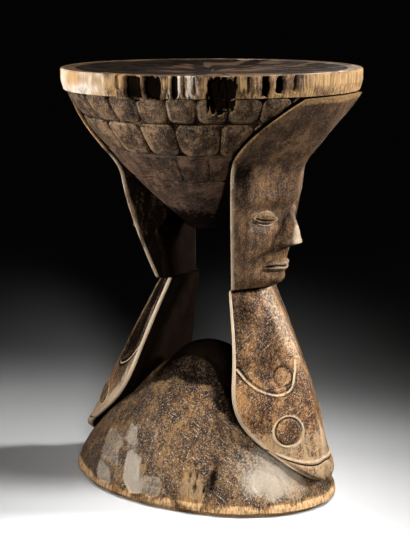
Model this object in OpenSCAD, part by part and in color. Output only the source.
// Carved wooden stool: a round seat on an inverted cone, joined to an elliptical mound
// by two opposed carved figures, with a hole right through between them.
// X runs through the two figures, Z is up, and the origin is the middle of the underside.
// The base lies a little to the rear of the seat, as on the hand-carved original.

/* [Seat] */
// Height of the seat's edge above the floor
total_h = 414; // [395:1:435]
// Radius of the seat
seat_r = 143.5; // [136:0.5:150]
// Height of the worn band round the seat's edge
rim_h = 20; // [14:1:24]
// Width of that band, seen from above
rim_w = 14; // [11:1:20]
// How far the band draws in at its lower edge
rim_taper = 2.5; // [0.5:0.5:5]
// Depth of the hollow in the sitting surface
dish_depth = 4; // [1:0.5:8]
// Thickness of the crust left over the hollows worn in the band
crust_t = 4; // [2:0.5:6]

/* [Cone under the seat] */
// Depth of the cone, from the band to its rounded tip
cone_h = 137; // [130:1:143]
// Radius where the rounded tip begins
tip_r = 26; // [20:1:32]
// Height of the rounded tip
tip_h = 7; // [4:0.5:12]
// How far the cone's side bulges
cone_bulge = 9; // [5:0.5:12]

/* [Scale pattern] */
// Height of the upper row of scales
upper_row_h = 24; // [18:1:28]
// Height of the lower row of scales
lower_row_h = 31; // [24:1:36]
// Number of scales right round in the upper row
upper_count = 30; // [24:1:36]
// Number of scales right round in the lower row
lower_count = 20; // [16:1:24]
// Height of a scale's relief
scale_relief = 2; // [1:0.25:3]
// Width of the groove between scales
scale_groove = 1.8; // [1:0.1:3]
// Radius of a scale's corners
scale_corner = 6; // [2:0.5:8]

/* [Base] */
// Half the base's length, along the line of the figures
base_a = 144.5; // [136:0.5:152]
// Half the base's width
base_b = 100; // [94:1:110]
// How far the base's middle lies to the rear of the seat's
base_shift = 10; // [6:0.5:14]
// Height of the mound's top above the floor
mound_h = 146; // [132:1:152]
// Height of the worn band round the foot
foot_h = 12; // [8:1:16]
// How far the band's upper and lower edges are rounded in
foot_round = 1.5; // [0.5:0.5:3]

/* [Both figures] */
// Distance of the neck, where head and leg meet, below the seat's band
neck_drop = 186; // [176:1:196]
// Distance of the headdress's lower edge below the seat's band
brow_drop = 74; // [66:1:82]
// Clearance between the headdress and the band above it
cap_gap = 2; // [1:0.5:4]
// How far the headdress's side edges stand off the cone
cap_proud = 4.5; // [3:0.5:7]
// How far its middle ridge stands off the cone
cap_ridge = 9.5; // [7:0.5:13]
// Half angle that the headdress covers at the seat, in degrees
cap_degrees = 20; // [15:1:26]
// Half angle that the head covers at the brow, in degrees
head_degrees = 45.4; // [42:0.5:48]
// Height of the step under the chin
chin_h = 12; // [8:1:16]
// How far the neck stands forward of the leg's ridge under that step
chin_foot = 5; // [2:0.5:8]
// Thickness of the head's flanks
head_flank = 22; // [16:1:26]
// Thickness of the neck's flanks
neck_flank = 15; // [11:1:18]
// Thickness of the leg's flanks
leg_flank = 9; // [6:1:13]
// Height where the leg is widest and its free edges end
skirt_z = 109; // [101:1:117]

/* [Front figure] */
// Distance of the neck's ridge from the stool's axis
front_neck_r = 64.5; // [60:0.5:70]
// Distance of the neck's edges, forward of the axis
front_neck_x = 48; // [44:0.5:52]
// Half width of the neck
front_neck_half = 39.5; // [35:0.5:44]
// Distance of the leg's edges at their widest, forward of the axis
front_skirt_x = 67; // [62:0.5:72]
// Half width of the leg at its widest
front_skirt_half = 67; // [60:0.5:72]
// How far the snout's ridge stays inside the base's end
front_snout_inset = 3; // [2:0.5:9]
// Power of the curve by which the leg's ridge flares out
front_flare_factor = 1.6; // [1.2:0.05:1.9]
// How strongly the snout's facets wrap round the mound
front_wrap_factor = 2; // [1.4:0.1:2.4]
// Distance of the chin from the axis
front_chin_r = 81; // [76:0.5:86]
// Distance of the forehead from the axis, under the headdress
front_brow_r = 96; // [92:0.5:102]
// Distance of the jaw's edges from the axis, at the neck
front_jaw_edge_r = 65; // [63:0.5:69]
// Distance of the temple's edges from the axis, at the brow
front_temple_r = 93; // [89:0.5:98]

/* [Rear figure] */
// Distance of the neck's ridge from the stool's axis
rear_neck_r = 58; // [54:0.5:63]
// Distance of the neck's edges, behind the axis
rear_neck_x = 32; // [28:0.5:36]
// Half width of the neck
rear_neck_half = 26; // [22:0.5:30]
// Distance of the leg's edges at their widest, behind the axis
rear_skirt_x = 62; // [57:0.5:67]
// Half width of the leg at its widest
rear_skirt_half = 54; // [48:0.5:60]
// How far the snout's ridge stays inside the base's end
rear_snout_inset = 7; // [3:0.5:11]
// Power of the curve by which the leg's ridge flares out
rear_flare_factor = 1.12; // [1:0.02:1.4]
// How strongly the snout's facets wrap round the mound
rear_wrap_factor = 1; // [0.5:0.1:1.5]
// Distance of the chin from the axis
rear_chin_r = 69; // [65:0.5:74]
// Distance of the forehead from the axis, under the headdress
rear_brow_r = 94; // [90:0.5:100]
// Distance of the jaw's edges from the axis, at the neck
rear_jaw_edge_r = 53.5; // [51:0.5:57]
// Distance of the temple's edges from the axis, at the brow
rear_temple_r = 89; // [85:0.5:94]

/* [Carving on the figures] */
// Width of a face's eye
eye_w = 25; // [18:0.5:30]
// Height of a face's eye
eye_h = 13; // [9:0.5:17]
// Distance between the middles of a face's eyes
eye_gap = 52; // [44:1:60]
// How far eyes and lips stand off the face
relief = 3; // [1.5:0.25:5]
// Half width of the nose at its wings
nose_half = 12; // [9:0.5:15]
// How far the nose stands off the face
nose_proud = 13; // [9:0.5:17]
// Width of the mouth
mouth_w = 46; // [36:1:54]
// Height of both lips together
mouth_h = 13; // [9:0.5:17]
// Diameter of the ringed eye on the leg's creature head
ring_d = 27; // [20:0.5:30]
// Width of the ring groove round that eye
ring_groove = 2; // [1:0.25:3]
// Depth of the ring groove
ring_depth = 2; // [1:0.25:4]
// How far across the leg's facet the ringed eyes lie, as a share of its half width there
ring_share = 0.5; // [0.45:0.005:0.6]
// Height of the ringed eyes above the floor
ring_z = 78; // [71.5:0.5:83.5]
// Height of the creature's mouth line at the ridge
snout_mouth_z = 41.5; // [37.5:0.5:45.5]
// Height of the tip of the creature's lower lip
lip_z = 27; // [23:0.5:31]
// Radius of that mouth line's curve
snout_mouth_r = 44; // [38:1:52]

/* [Hidden] */

rim_z = total_h - rim_h;
neck_z = rim_z - neck_drop;
brow_z = rim_z - brow_drop;
cone_r = seat_r - rim_taper;
tip_z = rim_z - cone_h + tip_h;
row_z = rim_z - upper_row_h;
lower_row_z = row_z - lower_row_h;
cap_z = rim_z - cap_gap;
big = 2 * total_h;
frame_x = (base_a + base_shift - seat_r) / 2;
face_h = brow_z - neck_z;

// Direction in which the flanks slant in, from the figure's middle plane
flank_degrees = 56;

// Wood colours: dark block, worn pale edges, warmer leg and base
dark_wood = "#4a382b";
grey_wood = "#5c4a3b";
pale_wood = "#a9814f";
warm_wood = "#6b4527";
base_wood = "#5f4029";

// Hollows worn in the seat's edge: direction in degrees, width, height
rim_hollows = [[-78, 24, 12], [-52.5, 22, 26], [-38, 8, 12], [-32, 11, 13]];

// Cone under the seat: radius at height z
function cone_at(z) =
    let (u = (z - tip_z) / (rim_z - tip_z))
    tip_r + (cone_r - tip_r) * u + cone_bulge * sin(180 * max(0, min(1, u)));

// Heights of the rings that draw the cone between two heights
function cone_steps(z0, z1, count) = [for (i = [0:count]) z0 + (z1 - z0) * i / count];

// Mound: how far out the slope lies at height z, as a share of the base's half axes
function mound_share(z) = pow(max(0, 1 - pow(z / mound_h, 1.4)), 1 / 1.3);

// Closed solid through rings of equal point counts, bottom ring first, each ring convex and
// running anticlockwise as seen from above
module loft(rings) {
    n = len(rings[0]);
    m = len(rings);
    points = [for (ring = rings) each ring];
    sides = [
        for (j = [0:m - 2], i = [0:n - 1])
            let (a = j * n + i, b = j * n + (i + 1) % n)
            each [[a, a + n, b + n], [a, b + n, b]]
    ];
    bottom = [for (i = [0:n - 1]) i];
    top = [for (i = [n - 1:-1:0]) (m - 1) * n + i];
    polyhedron(points = points, faces = concat([bottom, top], sides), convexity = 6);
}

// One level of a figure: two facets that meet at a ridge, flanks slanting in, a flat inner face
function figure_ring(z, ridge, edge_x, half, flank, steps = 12) =
    let (
        inner_x = edge_x - flank * cos(flank_degrees),
        inner_half = max(0.3 * half, half - flank * sin(flank_degrees)),
        outer = [
            for (i = [0:steps])
                let (s = -1 + 2 * i / steps)
                [ridge - (ridge - edge_x) * pow(abs(s), 1.2), half * s, z]
        ]
    )
    concat([[inner_x, -inner_half, z]], outer, [[inner_x, inner_half, z]]);

// Values of one figure
FRONT = [
    front_neck_r, front_neck_x, front_neck_half, front_skirt_x, front_skirt_half,
    base_a - base_shift - front_snout_inset, front_chin_r, front_brow_r, front_jaw_edge_r,
    front_temple_r, front_flare_factor, front_wrap_factor, 0
];
REAR = [
    rear_neck_r, rear_neck_x, rear_neck_half, rear_skirt_x, rear_skirt_half,
    base_a + base_shift - rear_snout_inset, rear_chin_r, rear_brow_r, rear_jaw_edge_r,
    rear_temple_r, rear_flare_factor, rear_wrap_factor, 180
];

// What each value in a figure's list is
function neck_r(f) = f[0];
function neck_x(f) = f[1];
function neck_half(f) = f[2];
function skirt_x(f) = f[3];
function skirt_half(f) = f[4];
function snout_r(f) = f[5];
function chin_r(f) = f[6];
function brow_r(f) = f[7];
function jaw_edge_r(f) = f[8];
function temple_r(f) = f[9];
function flare(f) = f[10];
function wrap(f) = f[11];
function facing(f) = f[12];

// Leg: a tongue that flares from the neck and narrows to the snout
function leg_ridge(z, f) =
    let (u = (neck_z - z) / (neck_z - snout_mouth_z))
    neck_r(f) + (snout_r(f) - neck_r(f)) * (u < 1 ? 1 - pow(1 - u, flare(f)) : 1 - 0.25 * pow(u - 1, 1.3));
function snout_share(z) = max(0, (z - lip_z) / (skirt_z - lip_z));
function leg_half(z, f) =
    z > skirt_z
        ? neck_half(f) + (skirt_half(f) - neck_half(f)) * (neck_z - z) / (neck_z - skirt_z)
        : skirt_half(f) * (1.25 * sqrt(snout_share(z)) - 0.25 * snout_share(z));
function leg_slope(z, f) =
    let (
        neck_k = (neck_r(f) - neck_x(f)) / neck_half(f),
        skirt_k = (leg_ridge(skirt_z, f) - skirt_x(f)) / skirt_half(f)
    )
    z > skirt_z
        ? neck_k + (skirt_k - neck_k) * sqrt((neck_z - z) / (neck_z - skirt_z))
        : skirt_k * pow(snout_share(z), 0.8) * (1 + wrap(f) * (1 - snout_share(z)));

module leg_form(f) {
    heights = [
        for (s = [0.02, 0.05, 0.1, 0.17, 0.26, 0.37, 0.5, 0.65, 0.82]) lip_z + (skirt_z - lip_z) * s,
        for (i = [0:6]) skirt_z + (neck_z - skirt_z) * i / 6
    ];
    loft([
        for (z = heights)
            let (
                ridge = leg_ridge(z, f),
                half = leg_half(z, f),
                edge = ridge - half * leg_slope(z, f),
                share = max(0, (z - skirt_z) / (neck_z - skirt_z)),
                flank = z < skirt_z
                    ? leg_flank * (4 - 3 * snout_share(z))
                    : leg_flank + (neck_flank - leg_flank) * share
            )
            figure_ring(z, ridge, edge, half, flank)
    ]);
}

// Head and headdress: one surface from chin to seat, which rests on the cone higher up
function cap_share(z) =
    let (start = neck_z + 0.66 * (rim_z - neck_z))
    max(0, (z - start) / (rim_z - start));
function head_angle(z, f) =
    let (neck_turn = atan(neck_half(f) / neck_x(f)), g = min(1, (z - neck_z) / (0.66 * (rim_z - neck_z))))
    neck_turn + (head_degrees - neck_turn) * (1 - pow(1 - g, 2))
        - (head_degrees - cap_degrees) * pow(cap_share(z), 1.55);
function head_edge_r(z, f) =
    let (g = min(1, (z - neck_z) / (brow_z - neck_z)))
    max(jaw_edge_r(f) + (temple_r(f) - jaw_edge_r(f)) * (1 - pow(1 - g, 1.4)), cone_at(z) + cap_proud);
function head_ridge_r(z, f) =
    let (
        chin_curve = pow(1 - min(1, (z - neck_z) / chin_h), 2),
        face = chin_r(f) + (brow_r(f) - chin_r(f)) * (z - neck_z) / (brow_z - neck_z)
            - (chin_r(f) - neck_r(f) - chin_foot) * chin_curve
    )
    max(face, cone_at(z) + cap_ridge - (cap_ridge - cap_proud + 1) * pow(cap_share(z), 2));

module head_form(f, z0, z1, count, grow = 0, spread = 0) {
    loft([
        for (i = [0:count])
            let (
                z = z0 + (z1 - z0) * i / count,
                share = min(1, (z - neck_z) / (2.5 * chin_h)),
                angle = head_angle(z, f) + spread,
                edge_r = head_edge_r(z, f) + grow,
                thick = neck_flank + (head_flank - neck_flank) * share,
                half = edge_r * sin(angle),
                near_tip = max(0, min(1, (z - tip_z + tip_h) / (4 * tip_h))),
                reach = max(0, edge_r - cone_at(z) + 4 * scale_relief - thick),
                flank = min(thick + reach * near_tip, 0.84 * half)
            )
            figure_ring(z, head_ridge_r(z, f) + grow, edge_r * cos(angle), half, flank)
    ]);
}

// Moves its children so that the origin is the middle of the underside
module in_frame() {
    translate([frame_x, 0, 0])
        children();
}

// Seat

module rim_wear() {
    for (hollow = rim_hollows)
        rotate([0, 0, hollow[0]])
            translate([seat_r, 0, total_h - crust_t - hollow[2]])
                cylinder(d = hollow[1], h = hollow[2], $fn = 48);
}

module seat_rim() {
    inner = seat_r - rim_w;
    color(pale_wood)
        difference() {
            rotate_extrude($fn = 96)
                polygon([
                    [inner, rim_z], [cone_r, rim_z], [seat_r, rim_z + rim_h / 2],
                    [seat_r, total_h - 0.15 * rim_h], [seat_r - 0.1 * rim_h, total_h], [inner, total_h]
                ]);
            rim_wear();
        }
}

module seat_top() {
    inner = seat_r - rim_w;
    steps = 8;
    color(dark_wood)
        rotate_extrude($fn = 96)
            polygon(concat(
                [[0, rim_z], [inner, rim_z]],
                [
                    for (i = [0:steps])
                        let (s = 1 - i / steps)
                        [inner * s, total_h - dish_depth * (1 - s * s)]
                ]
            ));
}

// Cone, with a shallow step where the scale rows begin

module bowl_form() {
    tip_steps = 6;
    tip = [
        for (i = [0:tip_steps])
            let (a = 90 * i / tip_steps)
            [tip_r * sin(a), tip_z - tip_h * cos(a)]
    ];
    plain = [for (z = cone_steps(tip_z, lower_row_z, 5)) if (z > tip_z) [cone_at(z), z]];
    rows = [for (z = cone_steps(lower_row_z, row_z, 2)) [cone_at(z) - scale_relief, z]];
    rows_top = [
        for (z = cone_steps(row_z, rim_z, 2)) if (z > row_z) [cone_at(z) - scale_relief, z]
    ];
    rotate_extrude($fn = 96)
        polygon(concat(tip, plain, rows, rows_top, [[0, rim_z]]));
}

module bowl() {
    color(grey_wood)
        bowl_form();
}

// Outline of one scale, narrower below, with rounded corners
function scale_outline(z0, z1, half0, half1, round) = [
    for (corner = [
        [half1 - round, z1 - round, 0], [round - half1, z1 - round, 90],
        [round - half0, z0 + round, 180], [half0 - round, z0 + round, 270]
    ])
        for (i = [0:4])
            let (a = corner[2] + 90 * i / 4)
            [corner[0] + round * cos(a), corner[1] + round * sin(a)]
];

module scale_row(z0, z1, count, clear_turn) {
    low = z0 + scale_groove / 2;
    high = z1 - scale_groove / 2;
    round = min(scale_corner, (high - low) / 3);
    half0 = cone_at(low + round) * sin(180 / count) - scale_groove / 2;
    half1 = cone_at(high - round) * sin(180 / count) - scale_groove / 2;
    steps = cone_steps(z0, z1, 2);
    pitch = 360 / count;
    difference() {
        union()
            for (i = [0:count - 1])
                let (a = pitch * (i + 0.5), off = min(a % 180, 180 - a % 180))
                    if (off > clear_turn)
                        rotate([0, 0, a])
                            intersection() {
                                rotate([0, 0, -pitch / 2])
                                    rotate_extrude(angle = pitch, $fn = 96)
                                        polygon(concat(
                                            [for (z = steps) [cone_at(z), z]],
                                            [
                                                for (j = [2:-1:0])
                                                    [cone_at(steps[j]) - scale_relief, steps[j]]
                                            ]
                                        ));
                                translate([cone_at(z0) / 2, 0, 0])
                                    rotate([90, 0, 90])
                                        linear_extrude(height = seat_r)
                                            polygon(scale_outline(low, high, half0, half1, round));
                            }
        rim_wear();
        head_form(FRONT, brow_z, cap_z, 6, 0, 1);
        rotate([0, 0, 180])
            head_form(REAR, brow_z, cap_z, 6, 0, 1);
    }
}

module upper_scales() {
    color(grey_wood)
        scale_row(row_z, rim_z, upper_count, cap_degrees);
}

module lower_scales() {
    color(grey_wood)
        scale_row(lower_row_z, row_z, lower_count, cap_degrees + 12);
}

// Base: an elliptical mound on a worn band

function base_ring(share, z) = [
    for (i = [0:47])
        let (a = 360 * i / 48)
        [base_a * share * cos(a) - base_shift * max(0, 1 - z / mound_h), base_b * share * sin(a), z]
];

module mound_form() {
    shares = [0, 0.08, 0.16, 0.25, 0.34, 0.43, 0.52, 0.61, 0.7, 0.78, 0.85, 0.91, 0.955, 0.985];
    loft([
        for (s = shares)
            let (z = foot_h + (mound_h - foot_h) * s)
            base_ring(mound_share(z), z)
    ]);
}

// The mound as it lies under a figure that is drawn facing +X
module mound_under(f) {
    rotate([0, 0, facing(f)])
        mound_form();
}

module base_mound() {
    color(base_wood)
        mound_form();
}

module base_foot() {
    top_share = mound_share(foot_h);
    color(pale_wood)
        loft([
            base_ring(1 - foot_round / base_a, 0),
            base_ring(1, foot_h / 3),
            base_ring((1 + top_share) / 2, 0.75 * foot_h),
            base_ring(top_share, foot_h)
        ]);
}

// Headdress and head

module crown(f) {
    color(grey_wood)
        difference() {
            head_form(f, brow_z, cap_z, 6);
            bowl_form();
        }
}

module head(f) {
    color(grey_wood)
        difference() {
            head_form(f, neck_z, brow_z, 10);
            bowl_form();
        }
}

// What stands off the face within an outline drawn in the plane across the figure
module face_relief(f) {
    difference() {
        intersection() {
            head_form(f, neck_z, brow_z, 10, relief);
            translate([neck_x(f) + relief / 3, 0, 0])
                rotate([90, 0, 90])
                    linear_extrude(height = seat_r)
                        children();
        }
        head_form(f, neck_z, brow_z, 10);
        bowl_form();
    }
}

// Leaf shape, as wide as w and as high as h, from two arcs
module leaf(w, h) {
    arc_r = (w * w + h * h) / (4 * h);
    intersection() {
        translate([0, arc_r - h / 2])
            circle(r = arc_r, $fn = 96);
        translate([0, h / 2 - arc_r])
            circle(r = arc_r, $fn = 96);
    }
}

module eyes(f) {
    color(grey_wood)
        face_relief(f)
            for (side = [-1, 1])
                translate([side * eye_gap / 2, neck_z + 0.62 * face_h])
                    rotate([0, 0, side * 8])
                        leaf(eye_w, eye_h);
}

module mouth(f) {
    color(grey_wood)
        face_relief(f)
            translate([0, neck_z + 0.2 * face_h])
                difference() {
                    leaf(mouth_w, mouth_h);
                    leaf(0.83 * mouth_w, mouth_h / 6);
                }
}

module nose(f) {
    root_z = neck_z + 0.68 * face_h;
    tip_nose_z = neck_z + 0.36 * face_h;
    root_x = head_ridge_r(root_z, f);
    tip_x = head_ridge_r(tip_nose_z, f);
    wing_r = 0.42 * nose_half;
    tip_ball_r = 0.58 * nose_half;
    color(grey_wood)
        difference() {
            hull() {
                translate([root_x - 0.4 * wing_r, 0, root_z])
                    sphere(r = wing_r, $fn = 20);
                translate([tip_x + nose_proud - tip_ball_r, 0, tip_nose_z + 0.4 * tip_ball_r])
                    sphere(r = tip_ball_r, $fn = 20);
                for (side = [-1, 1])
                    translate([tip_x - 0.2 * wing_r, side * (nose_half - wing_r), tip_nose_z + 0.4 * wing_r])
                        sphere(r = wing_r, $fn = 20);
            }
            head_form(f, neck_z, brow_z, 10);
        }
}

// Leg, with its creature head: ringed eyes and a lower jaw under the curved mouth line

module mouth_cut() {
    top = snout_mouth_z + 0.5 * snout_mouth_r;
    difference() {
        translate([0, -base_b, 0])
            cube([big, 2 * base_b, top]);
        translate([-foot_round, 0, snout_mouth_z + snout_mouth_r])
            rotate([0, 90, 0])
                cylinder(r = snout_mouth_r, h = big, $fn = 96);
    }
}

// Puts its children on the middle of a ringed eye, facing out of the leg's facet
module at_ring(f, side) {
    slope = leg_slope(ring_z, f);
    rise = (leg_ridge(ring_z - 1, f) - leg_ridge(ring_z + 1, f)) / 2;
    half = leg_half(ring_z, f);
    drop = half * slope * pow(ring_share, 1.2);
    translate([leg_ridge(ring_z, f) - drop, side * ring_share * half, ring_z])
        rotate([0, 0, side * atan(slope)])
            rotate([0, 90 - atan(rise * cos(atan(slope))), 0])
                children();
}

module leg(f) {
    color(warm_wood)
        difference() {
            leg_form(f);
            mound_under(f);
            mouth_cut();
            for (side = [-1, 1])
                at_ring(f, side)
                    translate([0, 0, -ring_depth])
                        cylinder(d = ring_d, h = ring_d / 2, $fn = 64);
        }
}

module leg_eyes(f) {
    color(warm_wood)
        for (side = [-1, 1])
            at_ring(f, side)
                translate([0, 0, -ring_depth])
                    cylinder(d = ring_d - 2 * ring_groove, h = 1.25 * ring_depth, $fn = 64);
}

module leg_jaw(f) {
    color(warm_wood)
        difference() {
            intersection() {
                leg_form(f);
                mouth_cut();
            }
            mound_under(f);
        }
}

in_frame() seat_top();
in_frame() seat_rim();
in_frame() bowl();
in_frame() upper_scales();
in_frame() lower_scales();
in_frame() base_mound();
in_frame() base_foot();
in_frame() crown(FRONT);  // front_crown
in_frame() head(FRONT);  // front_head
in_frame() eyes(FRONT);  // front_eyes
in_frame() nose(FRONT);  // front_nose
in_frame() mouth(FRONT);  // front_mouth
in_frame() leg(FRONT);  // front_leg
in_frame() leg_eyes(FRONT);  // front_leg_eyes
in_frame() leg_jaw(FRONT);  // front_leg_jaw
in_frame() rotate([0, 0, 180]) crown(REAR);  // rear_crown
in_frame() rotate([0, 0, 180]) head(REAR);  // rear_head
in_frame() rotate([0, 0, 180]) eyes(REAR);  // rear_eyes
in_frame() rotate([0, 0, 180]) nose(REAR);  // rear_nose
in_frame() rotate([0, 0, 180]) mouth(REAR);  // rear_mouth
in_frame() rotate([0, 0, 180]) leg(REAR);  // rear_leg
in_frame() rotate([0, 0, 180]) leg_eyes(REAR);  // rear_leg_eyes
in_frame() rotate([0, 0, 180]) leg_jaw(REAR);  // rear_leg_jaw
